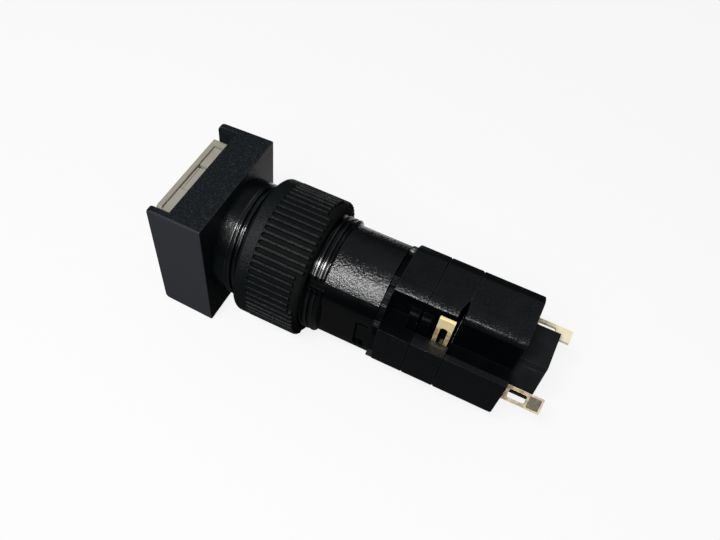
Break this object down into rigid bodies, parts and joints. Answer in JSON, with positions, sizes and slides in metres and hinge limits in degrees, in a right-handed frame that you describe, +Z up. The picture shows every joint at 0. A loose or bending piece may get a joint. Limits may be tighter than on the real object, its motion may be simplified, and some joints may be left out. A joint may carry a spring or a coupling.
{
  "type": "illuminated push button",
  "caption": "Square illuminated push button with side guards, threaded neck, ribbed locking nut and a rear contact block with flat terminals.",
  "frame": {"origin": "on the button's axis, in the plane of the bezel's back face, which seats on the panel", "axes": "+X runs along the axis from the lens to the terminals, +Z is up with the button lying on its side, and +Y points to the guard that is farther from the viewer"},
  "size_m": [0.053, 0.0188, 0.0188],
  "materials": {
    "housing_plastic": "black moulded plastic with a fine grain, smooth on the guards",
    "nut_plastic": "black moulded plastic, satin",
    "block_plastic": "black moulded plastic, slightly glossy",
    "inner_plastic": "black moulded plastic, satin",
    "lens_cream": "milky cream plastic, semi-gloss",
    "white_plate": "white plastic, satin",
    "slide_plastic": "natural white sliding plastic, satin",
    "lamp_clear": "water-clear resin, glossy",
    "terminal_brass": "gold-plated brass, satin",
    "spring_steel": "bright spring wire",
    "contact_silver": "bright silver"
  },
  "bodies": {
    "housing": {"housing": "housing_plastic", "return_spring": "spring_steel", "led_lamp": "lamp_clear", "lamp_holder": "slide_plastic", "lamp_lead_upper": "terminal_brass", "lamp_lead_lower": "terminal_brass", "coupling_collar": "inner_plastic", "contact_block_front": "block_plastic", "contact_block_middle": "block_plastic", "contact_block_rear": "block_plastic", "lamp_block": "block_plastic", "lamp_terminal_upper": "terminal_brass", "lamp_terminal_lower": "terminal_brass", "side_terminal_near": "terminal_brass", "side_terminal_far": "terminal_brass", "fixed_contact_tips": "contact_silver"},
    "button": {"lens_cover": "lens_cream", "marking_plate": "white_plate", "diffuser_plate": "white_plate", "button_frame": "inner_plastic", "plunger": "slide_plastic"},
    "contact_slider": {"contact_carrier": "slide_plastic", "contact_spring": "spring_steel", "contact_bridge": "terminal_brass", "moving_contact_tips": "contact_silver"},
    "nut": {"locking_nut": "nut_plastic"}
  },
  "joints": [
    {"name": "button_press", "type": "slide", "parent": "housing", "child": "button", "axis": [1, 0, 0], "range_m": [0, 0.0025], "stiffness_N_per_m": 400, "springref_m": -0.003, "deforming": ["return_spring"]},
    {"name": "contact_travel", "type": "slide", "parent": "housing", "child": "contact_slider", "axis": [1, 0, 0], "range_m": [0, 0.0025]},
    {"name": "nut_travel", "type": "slide", "parent": "housing", "child": "nut", "axis": [1, 0, 0], "range_m": [-0.002, 0.002]}
  ],
  "couplings": [
    {"joint": "contact_travel", "follows": "button_press", "ratio": 1}
  ]
}
